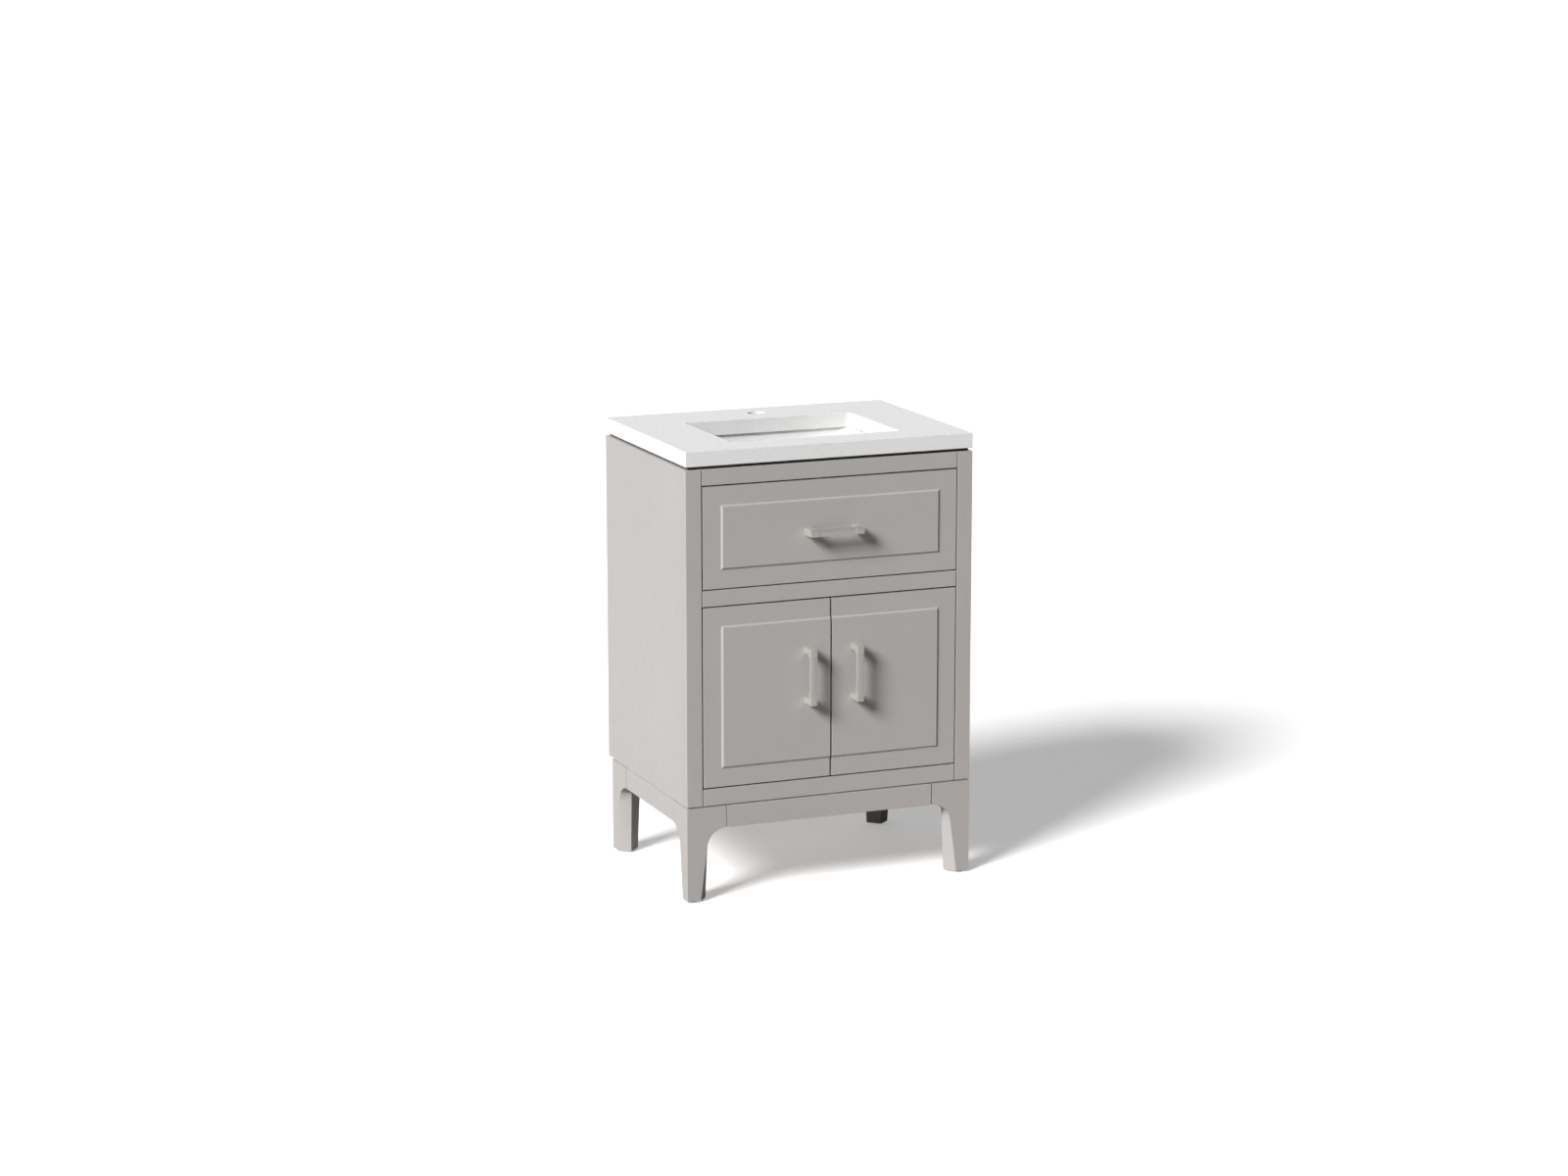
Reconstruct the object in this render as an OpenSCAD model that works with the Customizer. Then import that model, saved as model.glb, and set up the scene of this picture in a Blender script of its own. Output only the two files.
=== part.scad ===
// Bathroom vanity cabinet: a furniture-style base on four bracket feet, with one
// drawer over two doors, inset in a face frame, and a stone top with an
// undermount basin. Millimetres. Z is up and the front faces -Y. The origin is on
// the floor, under the centre of the outline, which includes the pulls.

/* [Cabinet body] */
// Width of the cabinet and of the top
body_w = 610; // [580:1:700]
// Depth of the cabinet and of the top, from the face frame to the wall
body_d = 457; // [450:1:520]
// Height of the cabinet's underside above the floor
base_h = 195; // [185:1:215]
// Height of the cabinet box on its base
body_h = 671.7; // [660:0.1:700]
// Thickness of the side and bottom panels
panel_t = 16; // [15:0.5:18]

/* [Face frame] */
// Thickness of the face frame, the doors and the drawer front
frame_t = 20; // [19:0.5:22]
// Width of each stile
stile_w = 32.2; // [30:0.1:36]
// Height of the top rail
top_rail_h = 31.8; // [30:0.1:36]
// Height of the rail between the drawer and the doors
mid_rail_h = 31.6; // [30:0.1:36]
// Height of the bottom rail
low_rail_h = 33.6; // [32:0.1:38]
// Gap all round the drawer front and the doors
gap = 2.8; // [2:0.1:3.4]
// Gap between the two doors
middle_gap = 3.8; // [3:0.1:4.5]
// Width of the shadow groove where a rail meets a stile or an apron meets a leg
groove_w = 2; // [1:0.1:3]
// Depth of the shadow grooves
groove_d = 3; // [2:0.5:4]

/* [Drawer front and doors] */
// Height of the drawer front
drawer_front_h = 202.5; // [195:0.1:208]
// How far the raised panel stands proud
panel_raise = 3.2; // [2:0.1:5]
// Width of the bevel round the raised panel
bevel_w = 3.6; // [2:0.1:6]
// Width of the flat margin outside the bevel
margin_w = 37.2; // [30:0.1:45]

/* [Pulls] */
// Overall length of a pull
pull_l = 114.3; // [110:0.1:130]
// Distance between a pull's two screws
pull_pitch = 101.6; // [98:0.1:104]
// Width of a pull's bar
pull_w = 14.8; // [12:0.1:18]
// How far a pull stands out from its panel
pull_out = 32; // [30:0.5:40]
// Thickness of a pull's bar
pull_bar_t = 7; // [6:0.5:9]
// Distance from the middle of the doors to a door pull's centreline
pull_inset = 50; // [40:1:60]
// Height of a door pull's centre above the doors' bottom edge
pull_rise = 211.1; // [180:0.1:240]

/* [Base] */
// Depth of the base, which stops short of the wall
base_d = 436; // [420:1:445]
// Width of each foot's bracket along the front and the side
bracket_w = 82.5; // [75:0.5:90]
// Height of the aprons
apron_h = 46.7; // [40:0.1:55]
// Thickness of the aprons and brackets
apron_t = 20; // [18:0.5:24]
// Width of a leg's front face at the floor
foot_w = 27.4; // [24:0.1:32]
// How much a leg's front face widens for each millimetre of height
leg_taper = 0.128; // [0.1:0.001:0.15]
// How far a leg's inner corners reach at the floor
foot_core = 46; // [42:0.5:48]
// How far they reach where the leg meets the base
leg_core = 52; // [48:0.5:56]
// Distance of those inner corners from the leg's outer faces
leg_cant = 23; // [20:0.5:28]
// Height of the shadow groove between the base and the cabinet
shadow_h = 3.2; // [2:0.1:5]

/* [Top and basin] */
// Thickness of the stone top
top_t = 30.4; // [28:0.1:32]
// Height of the recess between the cabinet and the top
reveal_h = 6; // [4:0.5:8]
// Depth of that recess
reveal_in = 7; // [5:0.5:10]
// Width of the basin cut-out
cut_w = 360; // [340:1:380]
// Depth of the basin cut-out from front to back
cut_d = 254; // [240:1:270]
// Distance from the top's front edge to the cut-out
cut_front = 76; // [74:1:85]
// Corner radius of the cut-out
cut_r = 8; // [4:0.5:15]
// Depth of the basin below the top's underside
bowl_h = 136; // [120:1:140]
// Diameter of the tap hole
tap_d = 35; // [32:0.5:38]
// Distance from the top's back edge to the tap hole's centre
tap_back = 63; // [58:1:66]
// Diameter of the basin's waste hole
waste_d = 45; // [44:0.5:46]

/* [Drawer and hinges] */
// Height of the drawer box's sides
box_h = 70; // [50:1:72]
// Depth of the drawer box
box_d = 370; // [340:1:375]
// Width of the notch in the drawer that clears the waste pipe
notch_w = 130; // [100:1:160]
// How far the door swings, which sets the length of the hinge leaves
door_swing = 105; // [95:1:108]

/* [Hidden] */
$fn = 64;
eps = 0.05;
half_w = body_w / 2;
front_y = -(body_d - panel_raise - pull_out) / 2;
body_top = base_h + body_h;

// Face frame openings
open_half = half_w - stile_w;
front_half = open_half - gap;
drawer_top = body_top - top_rail_h - gap;
drawer_low = drawer_top - drawer_front_h;
mid_rail_low = drawer_low - gap - mid_rail_h;
door_top = mid_rail_low - gap;
door_low = base_h + low_rail_h + gap;
door_h = door_top - door_low;
inner_half = half_w - panel_t;

// Back construction: a thin panel in front of two rails that meet the wall
rail_t = 16;
back_t = 6;
back_y = body_d - rail_t - back_t;
back_rail_h = 70;
pipe_w = 300;
pipe_h = 200;
pipe_z = 540;
stud_pitch = 406.4;
stud_hole_r = 2.75;

// Base
apron_z = base_h - apron_h;
glide_t = 3;
glide_r = 10;
knee_norm = sqrt(1 + leg_taper * leg_taper);
knee_r = (bracket_w - foot_w - leg_taper * apron_z) / (knee_norm - leg_taper);
knee_z = apron_z - knee_r;
knee_top_z = knee_z + knee_r * leg_taper / knee_norm;
shoulder_z = knee_z + sqrt(knee_r * knee_r - (bracket_w - leg_core) * (bracket_w - leg_core));
knee_steps = 5;
brace_l = 115;
brace_h = 30;
brace_drop = 35;
glide_in = foot_w / 2 + 2;

// Top
top_z = body_top + reveal_h;
strip_w = 25;
strip_gap = 0.2;
corner_block = 60;
corner_block_h = 22;

// Basin
cut_mid_y = cut_front + cut_d / 2;
overhang = 6;
wall_t = 8;
lip_w = 24;
lip_t = 10;
floor_t = 14;
dish_r = 100;
dish_h = 4;
bowl_r = 30;
overflow_r = 9;
overflow_drop = 45;
overflow_back = 2;
clip_t = 2;
clip_w = 20;
clip_y = 80;
clip_reach = 20;
clip_hook = 14;
clip_stud_x = 12;
clip_stud_r = 4;
clip_stud_h = 2;

// Shelf
shelf_z = 400;
shelf_front = 60;
shelf_d = 360;
shelf_t = 16;
shelf_side_gap = 1;
pin_r = 2.5;
fit = 0.1;
pin_in = 9;
pin_out = 8;
pin_pitch = 32;
pin_front = 100;
pin_rear = 380;

// Drawer slides: three nested steel channels a side
slide_t = 12.7;
slide_h = 45;
slide_l = 350;
slide_y = frame_t + 2;
slide_z = drawer_low + 50;
sheet_t = 1.2;
nest = 0.3;
lip_short = 1.7;
spacer_over = 20;
slide_outer = open_half - 1;
box_half = slide_outer - slide_t;

// Drawer box
board_t = 12;
ply_t = 6;
box_z = slide_z - box_h / 2;
ply_z = box_z + 3;
notch_y = frame_t + 130;

// Hinges: each door turns about the front of the gap beside its stile
hinge_x = open_half - gap / 2;
hinge_in = 60;
cup_r = 17.4;
cup_depth = 11.5;
cup_x = 23.5;
cup_wall = 1.2;
cup_rim = 2.6;
wing_w = 16;
wing_l = 62;
wing_screw = 25;
wing_screw_r = 4;
wing_screw_h = 1.2;
leaf_t = 2;
leaf_gap = 0.3;
leaf_half_h = 8;
leaf_r = 23.4;
leaf_root = 22;
leaf_low = 27;
leaf_high = 100;
leaf_end = 4;
half_swing = door_swing / 2;
arm_x = 5.5;
arm_half_h = 10;
arm_over = 0.5;
hinge_z = [door_low + hinge_in, door_top - hinge_in];

// Door stop
stop_half = 120;
stop_t = 12;
stop_drop = 12;
stop_lap = 1;
stop_back = 2;
bumper_r = 5;
bumper_t = 1.6;
bumper_x = 40;

// Pull fixings
screw_r = 2;
screw_head_r = 4;
screw_head_t = 2;
screw_in = 12;
pull_end_l = 17.5;
pull_step = 0.8;
pull_post = pull_l - pull_pitch;
pull_fillet = 12;

paint = [0.65, 0.63, 0.62];
birch = [0.86, 0.78, 0.64];
stone = [0.93, 0.93, 0.92];
glaze = [0.98, 0.98, 0.97];
steel = [0.75, 0.76, 0.78];
nickel = [0.60, 0.58, 0.55];
plastic = [0.25, 0.25, 0.26];

// ---- Shared shapes ----

// Y is measured from the face frame's front plane.
module cabinet(tint) {
    color(tint) translate([0, front_y, 0]) children();
}

// A board between two corners.
module board(low, high) {
    translate(low) cube(high - low);
}

// The children, and their mirror image on the other side of the cabinet.
module both_sides() {
    children();
    mirror([1, 0, 0]) children();
}

// The children on the left (-1) or the right (+1): they are drawn on the right.
module on_side(side) {
    mirror([side < 0 ? 1 : 0, 0, 0]) children();
}

// A rectangle with round corners, centred on the origin.
module round_rect(w, d, r) {
    square([w - 2 * r, d], center = true);
    square([w, d - 2 * r], center = true);
    for (x = [-1, 1], y = [-1, 1])
        translate([x * (w / 2 - r), y * (d / 2 - r)]) circle(r = r);
}

// A flat-backed front with a bevelled raised panel. The bevel runs all round,
// unless left or right is false: there the panel runs off the edge.
module panelled_front(x0, x1, z0, z1, left = true, right = true) {
    board([x0, 0, z0], [x1, frame_t, z1]);
    m0 = left ? margin_w : 0;
    m1 = right ? margin_w : 0;
    b0 = left ? bevel_w : 0;
    b1 = right ? bevel_w : 0;
    intersection() {
        translate([0, 0, z0]) linear_extrude(z1 - z0) polygon([
            [x0 + m0, 1], [x0 + m0, 0], [x0 + m0 + b0, -panel_raise],
            [x1 - m1 - b1, -panel_raise], [x1 - m1, 0], [x1 - m1, 1]]);
        translate([x0, 0, 0]) rotate([90, 0, 90]) linear_extrude(x1 - x0) polygon([
            [1, z0 + margin_w], [0, z0 + margin_w],
            [-panel_raise, z0 + margin_w + bevel_w],
            [-panel_raise, z1 - margin_w - bevel_w],
            [0, z1 - margin_w], [1, z1 - margin_w]]);
    }
}

// ---- Pulls ----

// Outline of a pull along its length: a bar on two posts with round inner corners.
module pull_outline() {
    inner = pull_l / 2 - pull_post;
    reach = pull_out - pull_bar_t;
    difference() {
        translate([-pull_l / 2, 0]) square([pull_l, pull_out]);
        translate([-inner, -1]) square([2 * inner, reach - pull_fillet + 1]);
        translate([-inner + pull_fillet, -1])
            square([2 * (inner - pull_fillet), reach + 1]);
        for (s = [-1, 1])
            translate([s * (inner - pull_fillet), reach - pull_fillet])
                circle(r = pull_fillet);
        translate([-pull_l / 2 + pull_end_l, pull_out - pull_step])
            square([pull_l - 2 * pull_end_l, pull_step + 1]);
    }
}

// A pull that lies along X with its posts on the plane y = 0.
module pull() {
    difference() {
        translate([0, 0, -pull_w / 2]) linear_extrude(pull_w)
            mirror([0, 1]) pull_outline();
        pull_screw_line(screw_r + fit, screw_in + 1);
    }
}

// Two cylinders along -Y at the screw positions.
module pull_screw_line(r, depth) {
    for (s = [-1, 1]) translate([s * pull_pitch / 2, 1, 0])
        rotate([90, 0, 0]) cylinder(r = r, h = depth + 1);
}

// The screws of one pull, from their heads behind the front to their ends.
module pull_screws() {
    for (s = [-1, 1]) translate([s * pull_pitch / 2, 0, 0]) rotate([90, 0, 0]) {
        translate([0, 0, -frame_t - panel_raise])
            cylinder(r = screw_r, h = frame_t + panel_raise + screw_in);
        translate([0, 0, -frame_t - panel_raise - screw_head_t])
            cylinder(r = screw_head_r, h = screw_head_t);
    }
}

// Clearance holes for one pull's screws through a front.
module pull_holes() {
    for (s = [-1, 1]) translate([s * pull_pitch / 2, 0, 0]) rotate([90, 0, 0])
        translate([0, 0, -frame_t - panel_raise - 1])
            cylinder(r = screw_r + 0.25, h = frame_t + panel_raise + 2);
}

module at_drawer_pull() {
    translate([0, -panel_raise, (drawer_low + drawer_top) / 2]) children();
}

module at_door_pull() {
    translate([pull_inset, -panel_raise, door_low + pull_rise])
        rotate([0, 90, 0]) children();
}

// ---- Base ----

// Width of a leg's front face at a height: a straight taper, and the round knee
// above it.
function leg_face(z) = z <= knee_top_z ? foot_w + leg_taper * z
    : bracket_w - sqrt(knee_r * knee_r - (z - knee_z) * (z - knee_z));

// Reach of a leg's inner corners at a height
function leg_reach(z) = foot_core + (leg_core - foot_core) * z / shoulder_z;

// Plan of a leg at a height, with its outer corner at the origin: five corners,
// with the two inner faces canted.
function leg_ring(z) =
    let (face = leg_face(z), reach = leg_reach(z))
    [[0, 0, z], [face, 0, z], [reach, leg_cant, z], [leg_cant, reach, z], [0, face, z]];

// The shaped part of a leg, from its foot to where the knee reaches its core.
module leg_post() {
    heights = concat([glide_t],
        [for (k = [0:knee_steps])
            knee_top_z + (shoulder_z - knee_top_z) * k / knee_steps]);
    last = len(heights) - 1;
    points = [for (z = heights) each leg_ring(z)];
    sides = [for (k = [0:last - 1], j = [0:4])
        let (a = 5 * k + j, b = 5 * k + (j + 1) % 5)
        each [[a, a + 5, b + 5], [a, b + 5, b]]];
    polyhedron(points, concat(sides, [[for (j = [0:4]) j]],
                              [[for (j = [4:-1:0]) 5 * last + j]]));
}

// The bracket over and beside a leg, seen from the front, with the round knee
// below.
module bracket_outline() {
    difference() {
        translate([0, shoulder_z]) square([bracket_w, base_h - shoulder_z]);
        translate([bracket_w, knee_z]) circle(r = knee_r);
    }
}

// Swaps X and Y, to draw the side view's half of a symmetric leg.
module swap_xy() {
    mirror([1, -1, 0]) children();
}

// One leg with its outer corner at the origin, growing towards +X and +Y.
module leg() {
    leg_post();
    difference() {
        union() {
            board([0, 0, shoulder_z], [leg_core, leg_core, base_h]);
            bracket();
            swap_xy() bracket();
        }
        shadow_groove(bracket_w);
        swap_xy() shadow_groove(bracket_w);
    }
}

module bracket() {
    translate([0, apron_t, 0]) rotate([90, 0, 0]) linear_extrude(apron_t)
        bracket_outline();
}

// The shadow line between the base and the cabinet.
module shadow_groove(l) {
    board([-1, -1, base_h - shadow_h], [l + 1, groove_d, base_h + 1]);
}

// Puts a leg's corner at a corner of the base: sx and sy are -1 or +1.
module leg_at(sx, sy) {
    translate([sx * half_w, sy < 0 ? 0 : base_d, 0])
        mirror([sx > 0 ? 1 : 0, 0, 0]) mirror([0, sy > 0 ? 1 : 0, 0]) children();
}

module leg_front_left() { cabinet(paint) leg_at(-1, -1) leg(); }
module leg_front_right() { cabinet(paint) leg_at(1, -1) leg(); }
module leg_rear_left() { cabinet(paint) leg_at(-1, 1) leg(); }
module leg_rear_right() { cabinet(paint) leg_at(1, 1) leg(); }

// An apron of a length, along +X from the origin, with its face at y = 0 and a
// shadow groove at each end.
module apron(l) {
    difference() {
        board([0, 0, apron_z], [l, apron_t, base_h]);
        shadow_groove(l);
        for (x = [-1, l - groove_w])
            board([x, -1, apron_z - 1], [x + groove_w + 1, groove_d, base_h + 1]);
    }
}

module apron_front() {
    cabinet(paint) translate([-half_w + bracket_w, 0, 0])
        apron(body_w - 2 * bracket_w);
}

module apron_rear() {
    cabinet(paint) translate([-half_w + bracket_w, base_d, 0]) mirror([0, 1, 0])
        apron(body_w - 2 * bracket_w);
}

module side_apron() {
    translate([half_w, bracket_w, 0]) rotate([0, 0, 90])
        apron(base_d - 2 * bracket_w);
}

module apron_left() { cabinet(paint) on_side(-1) side_apron(); }
module apron_right() { cabinet(paint) on_side(1) side_apron(); }

// A brace in each corner of the base holds a leg to its two aprons.
module base_braces() {
    cabinet(birch) for (sx = [-1, 1], sy = [-1, 1]) leg_at(sx, sy)
        translate([0, 0, base_h - brace_drop]) linear_extrude(brace_h) polygon([
            [leg_core, apron_t], [brace_l, apron_t], [apron_t, brace_l],
            [apron_t, leg_core], [leg_core, leg_core]]);
}

module foot_glides() {
    cabinet(plastic) for (sx = [-1, 1], sy = [-1, 1]) leg_at(sx, sy)
        translate([glide_in, glide_in, 0])
            cylinder(r = glide_r, h = glide_t);
}

// ---- Cabinet box ----

// A side panel, drilled with two columns of blind holes for the shelf pins.
module side_panel() {
    difference() {
        board([inner_half, frame_t, base_h], [half_w, body_d, body_top]);
        for (y = [pin_front, pin_rear], k = [-1, 0, 1])
            translate([inner_half - 1, y, shelf_z - pin_r + k * pin_pitch])
                rotate([0, 90, 0]) cylinder(r = pin_r + fit, h = pin_in + 1);
    }
}

module side_panel_left() { cabinet(paint) on_side(-1) side_panel(); }
module side_panel_right() { cabinet(paint) on_side(1) side_panel(); }

module bottom_panel() {
    low = base_h + low_rail_h - panel_t;
    cabinet(birch) board([-inner_half, frame_t, low],
                         [inner_half, back_y, low + panel_t]);
}

// Holes for wall screws, one over each wall stud.
module stud_holes() {
    for (s = [-1, 1])
        translate([s * stud_pitch / 2, back_y - 1, body_top - back_rail_h / 2])
            rotate([-90, 0, 0]) cylinder(r = stud_hole_r, h = back_t + rail_t + 2);
}

module back_panel() {
    cabinet(birch) difference() {
        board([-inner_half, back_y, base_h + low_rail_h - panel_t],
              [inner_half, back_y + back_t, body_top]);
        board([-pipe_w / 2, back_y - 1, pipe_z - pipe_h / 2],
              [pipe_w / 2, back_y + back_t + 1, pipe_z + pipe_h / 2]);
        stud_holes();
    }
}

module back_rail_top() {
    cabinet(birch) difference() {
        board([-inner_half, back_y + back_t, body_top - back_rail_h],
              [inner_half, body_d, body_top]);
        stud_holes();
    }
}

module back_rail_bottom() {
    low = base_h + low_rail_h - panel_t;
    cabinet(birch) board([-inner_half, back_y + back_t, low],
                         [inner_half, body_d, low + back_rail_h]);
}

module stile() {
    board([open_half, 0, base_h], [half_w, frame_t, body_top]);
}

module stile_left() { cabinet(paint) on_side(-1) stile(); }
module stile_right() { cabinet(paint) on_side(1) stile(); }

// A rail between the stiles, with a narrow shadow groove at each end.
module rail(low, high) {
    cabinet(paint) difference() {
        board([-open_half, 0, low], [open_half, frame_t, high]);
        both_sides() board([open_half - groove_w, -1, low - 1],
                           [open_half + 1, groove_d, high + 1]);
    }
}

module rail_top() { rail(body_top - top_rail_h, body_top); }
module rail_middle() { rail(mid_rail_low, mid_rail_low + mid_rail_h); }
module rail_bottom() { rail(base_h, base_h + low_rail_h); }

// A strip behind the middle rail that the closed doors stop against.
module door_stop() {
    cabinet(birch) {
        board([-stop_half, frame_t, mid_rail_low],
              [stop_half, frame_t + stop_t, mid_rail_low + mid_rail_h / 2]);
        board([-stop_half, frame_t + stop_back, door_top - stop_drop],
              [stop_half, frame_t + stop_t, mid_rail_low + stop_lap]);
    }
}

module door_bumpers() {
    cabinet(plastic) both_sides()
        translate([bumper_x, frame_t + stop_back, door_top - stop_drop / 2])
            rotate([90, 0, 0]) cylinder(r = bumper_r, h = bumper_t);
}

module shelf() {
    x = inner_half - shelf_side_gap;
    cabinet(birch) board([-x, shelf_front, shelf_z],
                         [x, shelf_front + shelf_d, shelf_z + shelf_t]);
}

module shelf_pins() {
    cabinet(steel) both_sides() for (y = [pin_front, pin_rear])
        translate([inner_half - pin_out, y, shelf_z - pin_r])
            rotate([0, 90, 0]) cylinder(r = pin_r, h = pin_out + pin_in);
}

// Blocks in the top corners take the screws that hold the stone top.
module corner_blocks() {
    z = body_top - corner_block_h;
    cabinet(birch) both_sides() {
        translate([inner_half, frame_t, z]) linear_extrude(corner_block_h)
            polygon([[0, 0], [-corner_block, 0], [0, corner_block]]);
        translate([inner_half, back_y, z]) linear_extrude(corner_block_h)
            polygon([[0, 0], [0, -corner_block], [-corner_block, 0]]);
    }
}

// Four strips set back from the cabinet's faces carry the top and leave a
// shadow gap under it.
module top_strips() {
    out = half_w - reveal_in;
    rear = body_d - reveal_in;
    side_y = reveal_in + strip_w + strip_gap;
    cabinet(birch) {
        board([-out, reveal_in, body_top], [out, reveal_in + strip_w, top_z]);
        board([-out, rear - strip_w, body_top], [out, rear, top_z]);
        both_sides() board([out - strip_w, side_y, body_top],
                           [out, body_d - side_y, top_z]);
    }
}

// ---- Top and basin ----

module countertop() {
    cabinet(stone) difference() {
        board([-half_w, 0, top_z], [half_w, body_d, top_z + top_t]);
        translate([0, cut_mid_y, top_z - 1]) linear_extrude(top_t + 2)
            round_rect(cut_w, cut_d, cut_r);
        translate([0, body_d - tap_back, top_z - 1])
            cylinder(d = tap_d, h = top_t + 2);
    }
}

// The basin hangs under the top: a lip, straight walls, and a floor dished to
// the waste hole. The overflow is a blind port in the front wall.
module sink_basin() {
    in_w = cut_w + 2 * overhang;
    in_d = cut_d + 2 * overhang;
    low = top_z - bowl_h - floor_t;
    floor_z = top_z - bowl_h;
    cabinet(glaze) translate([0, cut_mid_y, 0]) difference() {
        union() {
            translate([0, 0, top_z - lip_t]) linear_extrude(lip_t)
                round_rect(in_w + 2 * lip_w, in_d + 2 * lip_w, bowl_r);
            translate([0, 0, low]) linear_extrude(bowl_h + floor_t - 1)
                round_rect(in_w + 2 * wall_t, in_d + 2 * wall_t, bowl_r + wall_t);
        }
        translate([0, 0, floor_z]) linear_extrude(bowl_h + 1)
            round_rect(in_w, in_d, bowl_r);
        translate([0, 0, floor_z - dish_h])
            cylinder(r1 = waste_d / 2, r2 = dish_r, h = dish_h + eps);
        translate([0, 0, low - 1]) cylinder(d = waste_d, h = floor_t + 2);
        translate([0, -in_d / 2 + 1, top_z - overflow_drop]) rotate([90, 0, 0])
            cylinder(r = overflow_r, h = wall_t - overflow_back + 1);
    }
}

// Four bent clips hold the basin's lip up against the stone.
module sink_clips() {
    edge = cut_w / 2 + overhang + lip_w + 2;
    cabinet(steel) both_sides() for (y = [-1, 1])
        translate([edge, cut_mid_y + y * clip_y - clip_w / 2, top_z]) {
            board([0, 0, -clip_t], [clip_reach, clip_w, 0]);
            board([0, 0, -lip_t - clip_t], [clip_t, clip_w, 0]);
            board([-clip_hook, 0, -lip_t - clip_t], [clip_t, clip_w, -lip_t]);
            translate([clip_stud_x, clip_w / 2, -clip_t - clip_stud_h])
                cylinder(r = clip_stud_r, h = clip_stud_h + eps);
        }
}

// ---- Drawer slides ----

module slide_spacers() {
    cabinet(birch) both_sides()
        board([slide_outer, frame_t, slide_z - slide_h / 2],
              [inner_half, frame_t + slide_l + spacer_over, slide_z + slide_h / 2]);
}

// A steel channel on the right side. s is measured from the cabinet's side of
// the slide: the web lies from web to web + sheet_t, and the two lips from lip0
// to lip1 at half-height h.
module channel(web, lip0, lip1, h) {
    at_s = function (s) slide_outer - s;
    y1 = slide_y + slide_l;
    board([at_s(web + sheet_t), slide_y, slide_z - h], [at_s(web), y1, slide_z + h]);
    for (s = [0, 1]) translate([0, 0, slide_z]) mirror([0, 0, s])
        board([at_s(lip1), slide_y, h - sheet_t], [at_s(lip0), y1, h]);
}

module outer_channel() {
    channel(0, 0, slide_t - lip_short, slide_h / 2);
}

module middle_channel() {
    channel(sheet_t + nest, sheet_t + nest, slide_t - lip_short,
            slide_h / 2 - sheet_t - nest);
}

module inner_channel() {
    channel(slide_t - sheet_t, 2 * (sheet_t + nest) + nest, slide_t,
            slide_h / 2 - 2 * (sheet_t + nest));
}

module slide_outer_left() { cabinet(steel) on_side(-1) outer_channel(); }
module slide_outer_right() { cabinet(steel) on_side(1) outer_channel(); }
module slide_middle_left() { cabinet(steel) on_side(-1) middle_channel(); }
module slide_middle_right() { cabinet(steel) on_side(1) middle_channel(); }
module slide_inner_left() { cabinet(steel) on_side(-1) inner_channel(); }
module slide_inner_right() { cabinet(steel) on_side(1) inner_channel(); }

// ---- Drawer ----

module drawer_front() {
    cabinet(paint) difference() {
        panelled_front(-front_half, front_half, drawer_low, drawer_top);
        at_drawer_pull() pull_holes();
    }
}

module drawer_side() {
    board([box_half - board_t, frame_t, box_z],
          [box_half, frame_t + box_d, box_z + box_h]);
}

module drawer_side_left() { cabinet(birch) on_side(-1) drawer_side(); }
module drawer_side_right() { cabinet(birch) on_side(1) drawer_side(); }

module drawer_subfront() {
    cabinet(birch) board([-box_half + board_t, frame_t, box_z],
                         [box_half - board_t, frame_t + board_t, box_z + box_h]);
}

// The back is two short boards, one each side of the notch.
module drawer_back() {
    y1 = frame_t + box_d;
    cabinet(birch) both_sides() board([notch_w / 2, y1 - board_t, box_z],
                                      [box_half - board_t, y1, box_z + box_h]);
}

// Two walls and a cross wall box in the notch.
module drawer_notch_walls() {
    y1 = frame_t + box_d - board_t;
    cabinet(birch) {
        both_sides() board([notch_w / 2, notch_y, ply_z + ply_t],
                           [notch_w / 2 + board_t, y1, box_z + box_h]);
        board([-notch_w / 2 - board_t, notch_y - board_t, ply_z + ply_t],
              [notch_w / 2 + board_t, notch_y, box_z + box_h]);
    }
}

module drawer_bottom() {
    y1 = frame_t + box_d - board_t;
    cabinet(birch) difference() {
        board([-box_half + board_t, frame_t + board_t, ply_z],
              [box_half - board_t, y1, ply_z + ply_t]);
        board([-notch_w / 2, notch_y, ply_z - 1], [notch_w / 2, y1 + 1, ply_z + ply_t + 1]);
    }
}

module drawer_pull() { cabinet(nickel) at_drawer_pull() pull(); }
module drawer_pull_screws() { cabinet(steel) at_drawer_pull() pull_screws(); }

// ---- Doors ----

// Puts the children on the right door's turning axis, at each hinge.
module at_hinges() {
    for (z = hinge_z) translate([hinge_x, 0, z]) children();
}

// The right door; its panel runs off the edge that meets the left one.
module door() {
    difference() {
        panelled_front(middle_gap / 2, front_half, door_low, door_top, left = false);
        at_door_pull() pull_holes();
        at_hinges() translate([-cup_x, frame_t - cup_depth - fit, 0])
            rotate([-90, 0, 0]) cylinder(r = cup_r + fit, h = cup_depth + 1);
    }
}

module door_left() { cabinet(paint) on_side(-1) door(); }
module door_right() { cabinet(paint) on_side(1) door(); }
module door_pull_left() { cabinet(nickel) on_side(-1) at_door_pull() pull(); }
module door_pull_right() { cabinet(nickel) on_side(1) at_door_pull() pull(); }

module door_pull_screws_left() {
    cabinet(steel) on_side(-1) at_door_pull() pull_screws();
}

module door_pull_screws_right() {
    cabinet(steel) on_side(1) at_door_pull() pull_screws();
}

// A curved leaf about the door's axis. Angles run from the door's face line,
// and the leaf reaches into the cup from behind the door.
module leaf(r, a0, a1) {
    mirror([1, 0, 0]) rotate([0, 0, a0]) translate([0, 0, -leaf_half_h])
        rotate_extrude(angle = a1 - a0) translate([r, 0])
            square([leaf_t, 2 * leaf_half_h]);
}

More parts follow.
